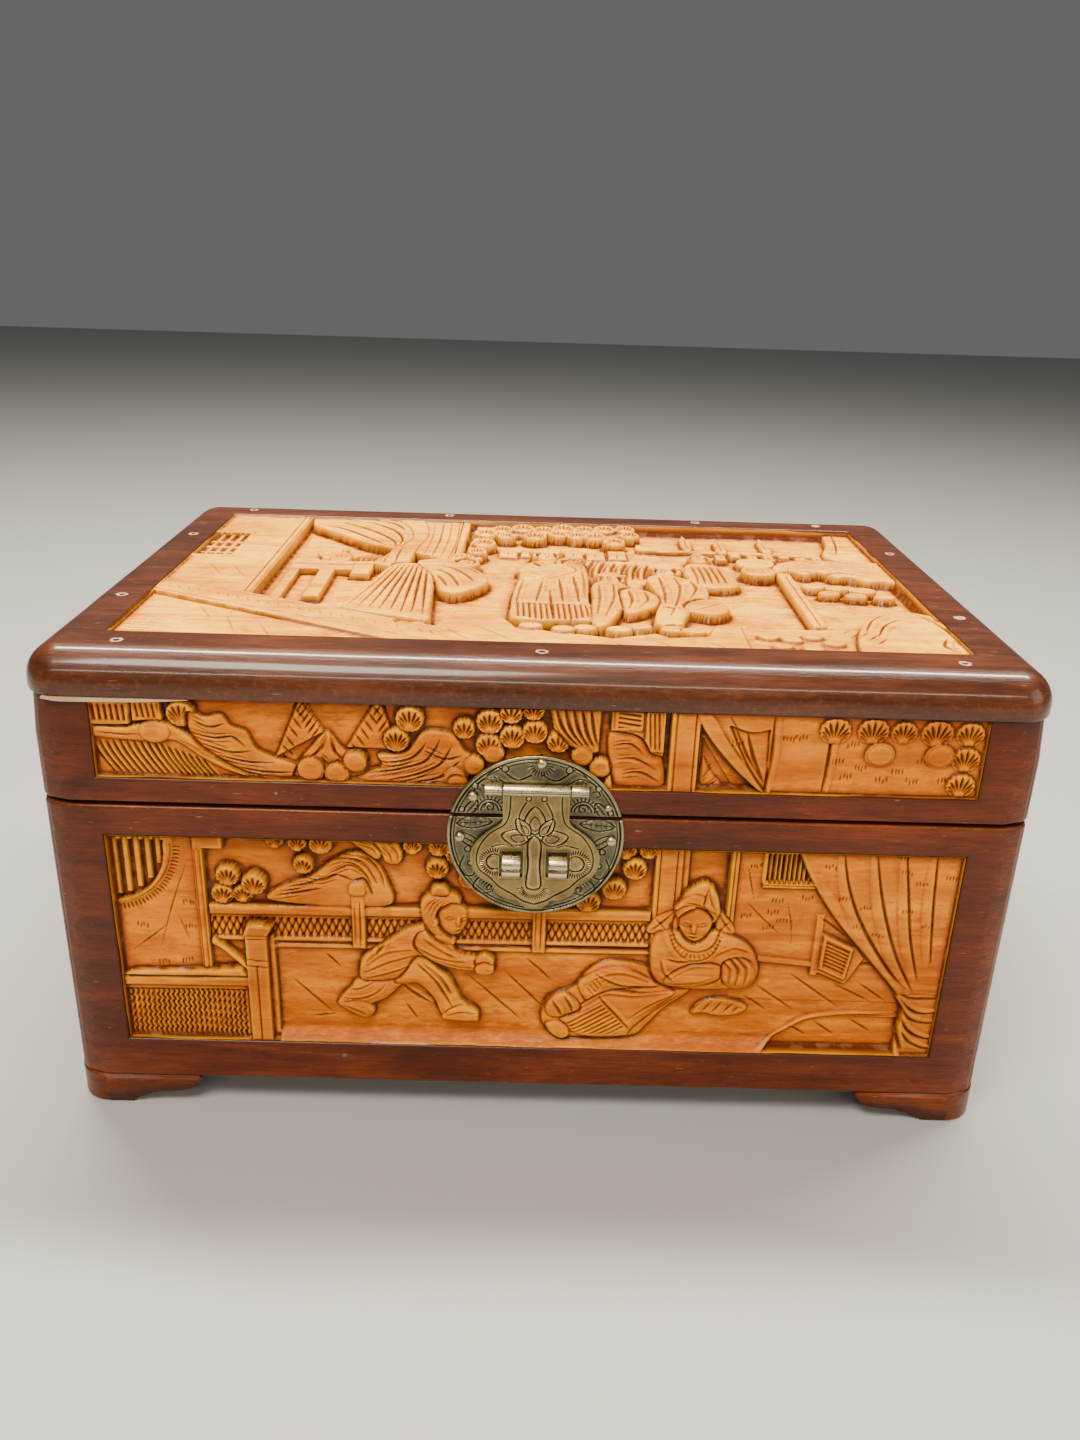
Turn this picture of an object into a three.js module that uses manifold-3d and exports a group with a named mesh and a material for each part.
// A carved camphor-wood jewelry box with a hinged lid and a round brass hasp lock.
// Millimetres. +X is to the right, +Y to the back, +Z up. The origin is the middle
// of the box's footprint, on the surface that its feet stand on.
import * as THREE from "three";
import { mergeVertices } from "three/addons/utils/BufferGeometryUtils.js";
import Module from "manifold-3d";

const wasm = await Module();
wasm.setup();

// --- driving dimensions ---------------------------------------------------
const LENGTH = 300;
const DEPTH = 200;
const HEIGHT = 158;
const WALL = 16; // thickness of every wall board
const CORNER_R = 11; // vertical corners, in plan
const SLAB_EDGE_R = 10; // rounding of the top board's upper edge
const GLUE_GAP = 0.3; // between boards that are glued together

const FOOT_HEIGHT = 11;
const BODY_TOP = 110.2;
const LID_BOTTOM = 111.4;
const SLAB_BOTTOM = 144.6;

const PANEL_DEPTH = 5; // how deep the carved panels are sunk
const STILE = 20; // plain border at the ends of every carved panel
const BODY_PANEL_LOW = 25.8;
const BODY_PANEL_HIGH = 100;
const LID_PANEL_LOW = 119.5;
const TOP_BORDER = 21.5;

const BOTTOM_BOARD = 6;

const FOOT_ARM = 41.7; // how far a foot reaches from its corner
const FOOT_FLAT = 18.4; // the part of that arm that stands on the surface

const NAIL_R = 1;
const NAIL_INSET = 12.5; // from the box's outer faces to the top board's nails
const NAIL_LENGTH = 30;
const NAIL_SUNK = 0.4; // the nails are punched below the surface and filled

// the round lock on the front
const LOCK_X = -0.4;
const LOCK_Z = 104;
const PLATE_R = 26.5;
const PLATE_THICK = 1;
const PLATE_BACK = -DEPTH / 2 - 0.1;
const PLATE_FRONT = PLATE_BACK - PLATE_THICK;
const HASP_THICK = 1.1;
const HASP_BACK = PLATE_FRONT - 0.3;
const HASP_FRONT = HASP_BACK - HASP_THICK;
const HASP_AXIS_Y = PLATE_FRONT - 1.8;
const HASP_AXIS_Z = 120.3;
const HASP_KNUCKLE_R = 1.75;
const HASP_PIN_R = 0.75;
const HASP_BORE_R = 0.95;
const HASP_NECK = 19.6; // width of the hasp's neck, and of its own knuckle
const HASP_BARREL = 30.4; // length of the whole barrel
const STAPLE_X = 7.1; // from the lock's middle to each staple's middle
const STAPLE_WIDTH = 5.6;
const STAPLE_LOW = 91.6;
const STAPLE_HIGH = 98.9;
const STAPLE_REACH = 5.2; // how far a staple stands out from the plate
const STAPLE_STRIP = 1;
const STAPLE_LEG = 8; // how deep its legs go into the wall
const SLOT_WIDTH = 6.9;
const SLOT_LOW = 90.9;
const SLOT_HIGH = 99.9;

// the butt hinges at the back
const HINGE_X = 92;
const HINGE_LENGTH = 36;
const HINGE_KNUCKLES = 5;
const HINGE_R = 2.4;
const HINGE_PIN_R = 1;
const HINGE_BORE_R = 1.25;
const HINGE_AXIS_Y = DEPTH / 2 + 2.9;
const HINGE_AXIS_Z = (BODY_TOP + LID_BOTTOM) / 2;
const LEAF_THICK = 0.9;
const LEAF_WIDTH = 13;
const LEAF_FROM_AXIS = 0.35; // between the parting plane and each leaf
const KNUCKLE_GAP = 0.4;
const SCREW_HEAD_R = 2;
const SCREW_R = 1;
const SCREW_LENGTH = 11;

const SIDES = 16; // facets of a small round

// --- finishes -------------------------------------------------------------
const frameWood = new THREE.MeshStandardMaterial({
  color: 0x5a2817,
  roughness: 0.4,
  metalness: 0,
});
const carvedWood = new THREE.MeshStandardMaterial({
  color: 0xb5651e,
  roughness: 0.45,
  metalness: 0,
});
const bareWood = new THREE.MeshStandardMaterial({
  color: 0xc79a66,
  roughness: 0.7,
  metalness: 0,
});
const agedBrass = new THREE.MeshStandardMaterial({
  color: 0x8a7a52,
  roughness: 0.4,
  metalness: 1,
});
const steel = new THREE.MeshStandardMaterial({
  color: 0x77736c,
  roughness: 0.5,
  metalness: 1,
});

// --- helpers --------------------------------------------------------------
function solid(geometry) {
  const bare = new THREE.BufferGeometry();
  bare.setAttribute("position", geometry.getAttribute("position").clone());
  if (geometry.index) bare.setIndex(geometry.index.clone());
  const merged = mergeVertices(bare, 1e-4);
  return new wasm.Manifold(
    new wasm.Mesh({
      numProp: 3,
      vertProperties: merged.getAttribute("position").array,
      triVerts: new Uint32Array(merged.index.array),
    }),
  );
}

function geometryOf(manifold) {
  const mesh = manifold.getMesh();
  const geometry = new THREE.BufferGeometry();
  geometry.setAttribute(
    "position",
    new THREE.BufferAttribute(mesh.vertProperties, 3),
  );
  geometry.setIndex(new THREE.BufferAttribute(mesh.triVerts, 1));
  geometry.computeVertexNormals();
  return geometry;
}

function cut(geometry, ...tools) {
  return geometryOf(
    tools.reduce((left, tool) => left.subtract(solid(tool)), solid(geometry)),
  );
}

function join(...geometries) {
  return geometryOf(geometries.map(solid).reduce((a, b) => a.add(b)));
}

function overlapOf(first, second) {
  return geometryOf(solid(first).intersect(solid(second)));
}

function box(low, high) {
  const size = high.map((value, axis) => value - low[axis]);
  const middle = high.map((value, axis) => (value + low[axis]) / 2);
  return new THREE.BoxGeometry(...size).translate(...middle);
}

// a round bar along X, with its middle at the given point
function barAlongX(radius, length, x, y, z) {
  return new THREE.CylinderGeometry(radius, radius, length, SIDES)
    .rotateZ(Math.PI / 2)
    .translate(x, y, z);
}

// an outline drawn in X and Z, given its thickness from yBack towards the front
function plateOf(outline, yBack, thickness) {
  return new THREE.ExtrudeGeometry(outline, {
    depth: thickness,
    bevelEnabled: false,
    curveSegments: 12,
  })
    .rotateX(Math.PI / 2)
    .translate(0, yBack, 0);
}

const group = new THREE.Group();

function add(name, geometry, material, turn = 0) {
  const mesh = new THREE.Mesh(geometry, material);
  mesh.name = name;
  mesh.rotation.z = turn;
  group.add(mesh);
}

// --- the top board's nails ------------------------------------------------
const nailX = LENGTH / 2 - NAIL_INSET;
const nailY = DEPTH / 2 - NAIL_INSET;
const nailPlaces = [
  ["front_left", -124, -nailY],
  ["front_middle", 0, -nailY],
  ["front_right", 124, -nailY],
  ["back_left", -124, nailY],
  ["back_middle_left", -40, nailY],
  ["back_middle_right", 66, nailY],
  ["back_right", 118, nailY],
  ["left_front", -nailX, -42],
  ["left_back", -nailX, 42],
  ["right_front", nailX, -42],
  ["right_back", nailX, 42],
];

function nailShaft(x, y, grow) {
  const length = NAIL_LENGTH + grow;
  const radius = NAIL_R + grow;
  return new THREE.CylinderGeometry(radius, radius, length, 8)
    .rotateX(Math.PI / 2)
    .translate(x, y, HEIGHT - NAIL_SUNK - NAIL_LENGTH / 2 + grow / 2);
}

// --- hinges: where they sit and the holes that they need -------------------
const leafPlaces = [
  { body: "body", side: -1 },
  { body: "lid", side: 1 },
];

// a countersunk screw that points up (side 1) or down (side -1) from a leaf's face
function screwGeometry(x, side, grow) {
  const head = SCREW_HEAD_R + grow;
  const shank = SCREW_R + grow;
  const profile = [
    [0, 0],
    [head, 0],
    [shank, LEAF_THICK + 0.6 + grow],
    [shank, SCREW_LENGTH - 2 + grow],
    [0, SCREW_LENGTH + grow],
  ].map(([r, h]) => new THREE.Vector2(r, h));
  const screw = new THREE.LatheGeometry(profile, 12).rotateX(Math.PI / 2);
  if (side < 0) screw.rotateX(Math.PI);
  return screw.translate(x, DEPTH / 2 - LEAF_WIDTH / 2, leafFace(side));
}

function leafFace(side) {
  return HINGE_AXIS_Z + side * LEAF_FROM_AXIS;
}

function screwPlaces(hingeX) {
  return [hingeX - 11, hingeX + 11];
}

// the shallow bed cut into a back wall for one leaf, with its screw holes
function leafBed(hingeX, side) {
  const half = HINGE_LENGTH / 2 + GLUE_GAP;
  const y0 = DEPTH / 2 - LEAF_WIDTH - GLUE_GAP;
  const near = HINGE_AXIS_Z;
  const far = leafFace(side) + side * (LEAF_THICK + GLUE_GAP);
  return box(
    [hingeX - half, y0, Math.min(near, far)],
    [hingeX + half, DEPTH / 2 + 1, Math.max(near, far)],
  );
}

// --- walls ----------------------------------------------------------------
// One mitred wall in plan, its outer face towards -Y, its outer corners rounded.
function wallPlan(halfLength, halfDepth) {
  const centre = halfLength - CORNER_R;
  const middle = -halfDepth + CORNER_R;
  const trim = Math.asin(GLUE_GAP / 2 / CORNER_R);
  const inner = halfLength - WALL - GLUE_GAP * Math.SQRT1_2;
  const innerY = -halfDepth + WALL;
  const plan = new THREE.Shape();
  plan.absarc(-centre, middle, CORNER_R, 1.25 * Math.PI + trim, 1.5 * Math.PI);
  plan.absarc(centre, middle, CORNER_R, 1.5 * Math.PI, 1.75 * Math.PI - trim);
  plan.lineTo(inner, innerY);
  plan.lineTo(-inner, innerY);
  plan.closePath();
  return plan;
}

function wall(halfLength, halfDepth, low, high) {
  return new THREE.ExtrudeGeometry(wallPlan(halfLength, halfDepth), {
    depth: high - low,
    bevelEnabled: false,
    curveSegments: 6,
  }).translate(0, 0, low);
}

// the sunk field of a carved panel, on a wall whose outer face is at -halfDepth
function sunkPanel(halfLength, halfDepth, low, high) {
  const half = halfLength - STILE;
  return box(
    [-half, -halfDepth - 1, low],
    [half, -halfDepth + PANEL_DEPTH, high],
  );
}

const HALF_L = LENGTH / 2;
const HALF_D = DEPTH / 2;
const QUARTER = Math.PI / 2;

// --- the round lock: shared places ----------------------------------------
const plateNails = [
  { name: "top", part: "upper", x: 0.8, z: 128.4, head: 1.6 },
  { name: "upper_left", part: "upper", x: -19.2, z: 117.3, head: 1.6 },
  { name: "upper_right", part: "upper", x: 20.9, z: 114.4, head: 1.1 },
  { name: "lower_left", part: "lower", x: -23, z: 103.7, head: 1.6 },
  { name: "lower_right", part: "lower", x: 22.3, z: 103.5, head: 1.6 },
];
const PLATE_NAIL_R = 0.6;
const PLATE_NAIL_LENGTH = 9;

function plateNailHole(nail) {
  return new THREE.CylinderGeometry(
    PLATE_NAIL_R + GLUE_GAP,
    PLATE_NAIL_R + GLUE_GAP,
    2 * PLATE_NAIL_LENGTH + 2 * GLUE_GAP,
    8,
  ).translate(nail.x, PLATE_FRONT, nail.z);
}

function plateNail(nail) {
  const head = nail.head;
  const profile = [
    [0, -PLATE_NAIL_LENGTH],
    [PLATE_NAIL_R, -PLATE_NAIL_LENGTH + 1],
    [PLATE_NAIL_R, 0.2],
    [head, 0.2],
    [head * 0.92, 0.2 + head * 0.35],
    [head * 0.6, 0.2 + head * 0.6],
    [0, 0.2 + head * 0.7],
  ].map(([r, h]) => new THREE.Vector2(r, h));
  return new THREE.LatheGeometry(profile, 12)
    .rotateX(Math.PI)
    .translate(nail.x, PLATE_FRONT, nail.z);
}

function stapleLegBed(x, z, grow) {
  const half = STAPLE_WIDTH / 2 + grow;
  return box(
    [x - half, HASP_FRONT, z - STAPLE_STRIP / 2 - grow],
    [x + half, PLATE_BACK + STAPLE_LEG + grow, z + STAPLE_STRIP / 2 + grow],
  );
}

const stapleXs = [LOCK_X - STAPLE_X, LOCK_X + STAPLE_X - 0.2];
const legZs = [STAPLE_LOW + STAPLE_STRIP / 2, STAPLE_HIGH - STAPLE_STRIP / 2];
const legBeds = stapleXs.flatMap((x) =>
  legZs.map((z) => stapleLegBed(x, z, 0.25)),
);

// --- the body -------------------------------------------------------------
function addBody() {
  const low = FOOT_HEIGHT;
  const panel = [BODY_PANEL_LOW, BODY_PANEL_HIGH];
  const lowerNails = plateNails.filter((nail) => nail.part === "lower");
  add(
    "body_front_wall",
    cut(
      wall(HALF_L, HALF_D, low, BODY_TOP),
      sunkPanel(HALF_L, HALF_D, ...panel),
      ...lowerNails.map(plateNailHole),
      ...legBeds,
    ),
    carvedWood,
  );
  add(
    "body_left_wall",
    cut(wall(HALF_D, HALF_L, low, BODY_TOP), sunkPanel(HALF_D, HALF_L, ...panel)),
    carvedWood,
    -QUARTER,
  );
  add(
    "body_right_wall",
    cut(wall(HALF_D, HALF_L, low, BODY_TOP), sunkPanel(HALF_D, HALF_L, ...panel)),
    carvedWood,
    QUARTER,
  );
  add("body_back_wall", backWall(low, BODY_TOP, -1), frameWood);
  const inset = WALL + GLUE_GAP;
  add(
    "bottom_board",
    box(
      [-HALF_L + inset, -HALF_D + inset, low],
      [HALF_L - inset, HALF_D - inset, low + BOTTOM_BOARD],
    ),
    bareWood,
  );
}

function backWall(low, high, side) {
  const plain = wall(HALF_L, HALF_D, low, high).rotateZ(Math.PI);
  const nails = side > 0 ? nailPlaces.filter(([, , y]) => y === nailY) : [];
  const hinges = [-HINGE_X, HINGE_X];
  return cut(
    plain,
    ...nails.map(([, x, y]) => nailShaft(x, y, GLUE_GAP)),
    ...hinges.map((x) => leafBed(x, side)),
    ...hinges
      .flatMap(screwPlaces)
      .map((x) => screwGeometry(x, side, GLUE_GAP)),
  );
}

// --- the feet -------------------------------------------------------------
function footArm(length) {
  const outline = new THREE.Shape();
  outline.moveTo(0, 0);
  outline.lineTo(FOOT_FLAT, 0);
  outline.bezierCurveTo(23, 3.6, 27, 4.2, 32, 4.4);
  outline.bezierCurveTo(38, 4.7, length, 7, length, FOOT_HEIGHT - GLUE_GAP);
  outline.lineTo(0, FOOT_HEIGHT - GLUE_GAP);
  outline.closePath();
  return new THREE.ExtrudeGeometry(outline, {
    depth: WALL,
    bevelEnabled: false,
    curveSegments: 6,
  })
    .rotateX(Math.PI / 2)
    .translate(0, WALL, 0);
}

// a foot whose outer corner is at the origin, its arms along +X and +Y
function footGeometry() {
  const alongX = footArm(FOOT_ARM);
  const alongY = footArm(FOOT_ARM).scale(-1, 1, 1).rotateZ(-Math.PI / 2);
  const corner = new THREE.Shape();
  corner.absarc(CORNER_R, CORNER_R, CORNER_R, Math.PI, 1.5 * Math.PI);
  corner.lineTo(2 * FOOT_ARM, 0);
  corner.lineTo(2 * FOOT_ARM, 2 * FOOT_ARM);
  corner.lineTo(0, 2 * FOOT_ARM);
  corner.closePath();
  const rounding = new THREE.ExtrudeGeometry(corner, {
    depth: FOOT_HEIGHT + 2,
    bevelEnabled: false,
    curveSegments: 8,
  }).translate(0, 0, -1);
  const flipped = new THREE.BufferGeometry();
  flipped.setAttribute("position", alongY.getAttribute("position"));
  flipped.setIndex(
    [...Array(alongY.getAttribute("position").count).keys()].map((i) =>
      i % 3 === 1 ? i + 1 : i % 3 === 2 ? i - 1 : i,
    ),
  );
  return overlapOf(join(alongX, flipped), rounding);
}

function addFeet() {
  const places = [
    ["foot_front_left", -HALF_L, -HALF_D, 0],
    ["foot_front_right", HALF_L, -HALF_D, 1],
    ["foot_back_right", HALF_L, HALF_D, 2],
    ["foot_back_left", -HALF_L, HALF_D, 3],
  ];
  for (const [name, x, y, quarters] of places) {
    const foot = footGeometry().rotateZ(quarters * QUARTER).translate(x, y, 0);
    add(name, foot, frameWood);
  }
}

// --- the lid --------------------------------------------------------------
function addLid() {
  const low = LID_BOTTOM;
  const high = SLAB_BOTTOM - GLUE_GAP;
  const panel = [LID_PANEL_LOW, high + 1];
  const upperNails = plateNails.filter((nail) => nail.part === "upper");
  const holes = (test) =>
    nailPlaces.filter(test).map(([, x, y]) => nailShaft(x, y, GLUE_GAP));
  add(
    "lid_front_wall",
    cut(
      wall(HALF_L, HALF_D, low, high),
      sunkPanel(HALF_L, HALF_D, ...panel),
      ...upperNails.map(plateNailHole),
      ...holes(([, , y]) => y === -nailY),
    ),
    carvedWood,
  );
  for (const [name, side] of [
    ["lid_left_wall", -1],
    ["lid_right_wall", 1],
  ]) {
    const plain = cut(
      wall(HALF_D, HALF_L, low, high),
      sunkPanel(HALF_D, HALF_L, ...panel),
    ).rotateZ(side * QUARTER);
    add(name, cut(plain, ...holes(([, x]) => x === side * nailX)), carvedWood);
  }
  add("lid_back_wall", backWall(low, high, 1), frameWood);
  addTopBoard();
}

function addTopBoard() {
  const plan = new THREE.Shape();
  const inX = HALF_L - CORNER_R;
  const inY = HALF_D - CORNER_R;
  plan.absarc(inX, inY, CORNER_R, 0, QUARTER);
  plan.absarc(-inX, inY, CORNER_R, QUARTER, Math.PI);
  plan.absarc(-inX, -inY, CORNER_R, Math.PI, 3 * QUARTER);
  plan.absarc(inX, -inY, CORNER_R, 3 * QUARTER, 4 * QUARTER);
  const rounded = new THREE.ExtrudeGeometry(plan, {
    depth: 20,
    bevelSize: SLAB_EDGE_R,
    bevelOffset: -SLAB_EDGE_R,
    bevelThickness: SLAB_EDGE_R,
    bevelSegments: 6,
    curveSegments: 6,
  }).translate(0, 0, HEIGHT - 20 - SLAB_EDGE_R);
  const below = box(
    [-LENGTH, -DEPTH, SLAB_BOTTOM - 40],
    [LENGTH, DEPTH, SLAB_BOTTOM],
  );
  const field = box(
    [-HALF_L + STILE, -HALF_D + TOP_BORDER, HEIGHT - PANEL_DEPTH],
    [HALF_L - STILE, HALF_D - TOP_BORDER, HEIGHT + 1],
  );
  const nails = nailPlaces.map(([, x, y]) => nailShaft(x, y, GLUE_GAP));
  add("lid_top_board", cut(rounded, below, field, ...nails), carvedWood);
  for (const [name, x, y] of nailPlaces)
    add("top_nail_" + name, nailShaft(x, y, 0), steel);
}

// --- the lock -------------------------------------------------------------
// the part of the round plate above or below the parting line
function plateHalf(upper) {
  const edge = (upper ? LID_BOTTOM : BODY_TOP) - LOCK_Z;
  const turn = Math.asin(edge / PLATE_R);
  const outline = new THREE.Shape();
  if (upper) outline.absarc(LOCK_X, LOCK_Z, PLATE_R, turn, Math.PI - turn);
  else outline.absarc(LOCK_X, LOCK_Z, PLATE_R, Math.PI - turn, 2 * Math.PI + turn);
  outline.closePath();
  return new THREE.ExtrudeGeometry(outline, {
    depth: PLATE_THICK,
    bevelEnabled: false,
    curveSegments: 40,
  })
    .rotateX(Math.PI / 2)
    .translate(0, PLATE_BACK, 0);
}

function addPlates() {
  const outer = (HASP_BARREL - HASP_NECK) / 2 - KNUCKLE_GAP;
  const ends = [-1, 1].map(
    (side) => LOCK_X + side * (HASP_NECK / 2 + KNUCKLE_GAP + outer / 2),
  );
  const knuckles = ends.map((x) =>
    barAlongX(HASP_KNUCKLE_R, outer, x, HASP_AXIS_Y, HASP_AXIS_Z),
  );
  const webs = ends.map((x) =>
    box(
      [x - outer / 2, HASP_AXIS_Y, HASP_AXIS_Z - 1.2],
      [x + outer / 2, PLATE_FRONT + 0.5, HASP_AXIS_Z + 1.2],
    ),
  );
  const bore = barAlongX(
    HASP_BORE_R,
    HASP_BARREL + 4,
    LOCK_X,
    HASP_AXIS_Y,
    HASP_AXIS_Z,
  );
  const holesFor = (part) =>
    plateNails.filter((nail) => nail.part === part).map(plateNailHole);
  add(
    "lock_plate_upper",
    cut(join(plateHalf(true), ...knuckles, ...webs), bore, ...holesFor("upper")),
    agedBrass,
  );
  add(
    "lock_plate_lower",
    cut(plateHalf(false), ...legBeds, ...holesFor("lower")),
    agedBrass,
  );
  for (const nail of plateNails)
    add("plate_nail_" + nail.name, plateNail(nail), agedBrass);
}

// the hasp's outline: a straight neck that flares to round shoulders, and a
// scalloped lower edge that ends in a tongue
function haspOutline() {
  const neck = HASP_NECK / 2;
  const shape = new THREE.Shape();
  shape.moveTo(neck, HASP_AXIS_Z - 0.3);
  shape.lineTo(-neck, HASP_AXIS_Z - 0.3);
  shape.lineTo(-neck, 110.2);
  shape.bezierCurveTo(-neck - 0.4, 107.4, -17, 106.4, -19.2, 99.6);
  shape.bezierCurveTo(-20, 95.5, -18.6, 90.6, -13.4, 88.5);
  shape.bezierCurveTo(-12, 87.6, -12.2, 85.2, -10.5, 84.3);
  shape.bezierCurveTo(-9, 83.1, -6.6, 82.6, -5.1, 82.9);
  shape.bezierCurveTo(-4, 80.6, -2, 79.7, 0, 79.7);
  shape.bezierCurveTo(2, 79.7, 4, 80.6, 5.1, 82.9);
  shape.bezierCurveTo(6.6, 82.6, 9, 83.1, 10.5, 84.3);
  shape.bezierCurveTo(12.2, 85.2, 12, 87.6, 13.4, 88.5);
  shape.bezierCurveTo(18.6, 90.6, 20, 95.5, 19.2, 99.6);
  shape.bezierCurveTo(17, 106.4, neck + 0.4, 107.4, neck, 110.2);
  shape.closePath();
  return shape;
}

function addHasp() {
  const leaf = plateOf(haspOutline(), HASP_BACK, HASP_THICK).translate(LOCK_X, 0, 0);
  const slots = stapleXs.map((x) =>
    box(
      [x - SLOT_WIDTH / 2, HASP_FRONT - 1, SLOT_LOW],
      [x + SLOT_WIDTH / 2, HASP_BACK + 1, SLOT_HIGH],
    ),
  );
  const knuckle = barAlongX(
    HASP_KNUCKLE_R,
    HASP_NECK,
    LOCK_X,
    HASP_AXIS_Y,
    HASP_AXIS_Z,
  );
  const bore = barAlongX(
    HASP_BORE_R,
    HASP_BARREL,
    LOCK_X,
    HASP_AXIS_Y,
    HASP_AXIS_Z,
  );
  add("hasp", cut(join(leaf, knuckle), bore, ...slots), agedBrass);
  add(
    "hasp_pin",
    barAlongX(HASP_PIN_R, HASP_BARREL, LOCK_X, HASP_AXIS_Y, HASP_AXIS_Z),
    agedBrass,
  );
}

// a strip of brass bent into a loop, its two legs driven into the front wall
function addStaples() {
  const front = PLATE_FRONT - STAPLE_REACH;
  const back = PLATE_BACK + STAPLE_LEG;
  const strip = STAPLE_STRIP;
  const outline = new THREE.Shape();
  const bend = (STAPLE_HIGH - STAPLE_LOW) / 2;
  const middle = (STAPLE_HIGH + STAPLE_LOW) / 2;
  const start = front + bend;
  outline.moveTo(back, STAPLE_LOW);
  outline.lineTo(back, STAPLE_LOW + strip);
  outline.lineTo(start, STAPLE_LOW + strip);
  outline.absarc(start, middle, bend - strip, 1.5 * Math.PI, QUARTER, true);
  outline.lineTo(back, STAPLE_HIGH - strip);
  outline.lineTo(back, STAPLE_HIGH);
  outline.lineTo(start, STAPLE_HIGH);
  outline.absarc(start, middle, bend, QUARTER, 1.5 * Math.PI);
  outline.closePath();
  ["left", "right"].forEach((side, index) => {
    const loop = new THREE.ExtrudeGeometry(outline, {
      depth: STAPLE_WIDTH,
      bevelEnabled: false,
      curveSegments: 10,
    })
      .rotateX(Math.PI / 2)
      .rotateZ(QUARTER)
      .translate(stapleXs[index] - STAPLE_WIDTH / 2, 0, 0);
    add("staple_" + side, loop, agedBrass);
  });
}

// --- the hinges -----------------------------------------------------------
function hingeLeaf(hingeX, side) {
  const knuckle = HINGE_LENGTH / HINGE_KNUCKLES;
  const mine = [0, 1, 2, 3, 4].filter((i) => (i % 2 === 0) === side < 0);
  const face = leafFace(side);
  const back = face + side * LEAF_THICK;
  const leaf = box(
    [hingeX - HINGE_LENGTH / 2, HALF_D - LEAF_WIDTH, Math.min(face, back)],
    [hingeX + HINGE_LENGTH / 2, HALF_D, Math.max(face, back)],
  );
  const barrels = [];
  for (const index of mine) {
    const x = hingeX + (index - 2) * knuckle;
    const length = knuckle - KNUCKLE_GAP;
    barrels.push(barAlongX(HINGE_R, length, x, HINGE_AXIS_Y, HINGE_AXIS_Z));
    barrels.push(
      box(
        [x - length / 2, HALF_D - 1, Math.min(face, back)],
        [x + length / 2, HINGE_AXIS_Y, Math.max(face, back)],
      ),
    );
  }
  const bore = barAlongX(
    HINGE_BORE_R,
    HINGE_LENGTH + 4,
    hingeX,
    HINGE_AXIS_Y,
    HINGE_AXIS_Z,
  );
  const screws = screwPlaces(hingeX).map((x) =>
    screwGeometry(x, side, GLUE_GAP),
  );
  return cut(join(leaf, ...barrels), bore, ...screws);
}

function addHinges() {
  for (const [where, hingeX] of [
    ["left", -HINGE_X],
    ["right", HINGE_X],
  ]) {
    for (const { body, side } of leafPlaces) {
      add(`hinge_${where}_${body}_leaf`, hingeLeaf(hingeX, side), agedBrass);
      screwPlaces(hingeX).forEach((x, index) =>
        add(
          `hinge_${where}_${body}_screw_${index + 1}`,
          screwGeometry(x, side, 0),
          steel,
        ),
      );
    }
    add(
      `hinge_${where}_pin`,
      barAlongX(HINGE_PIN_R, HINGE_LENGTH, hingeX, HINGE_AXIS_Y, HINGE_AXIS_Z),
      agedBrass,
    );
  }
}

addBody();
addFeet();
addLid();
addPlates();
addHasp();
addStaples();
addHinges();

export default group;
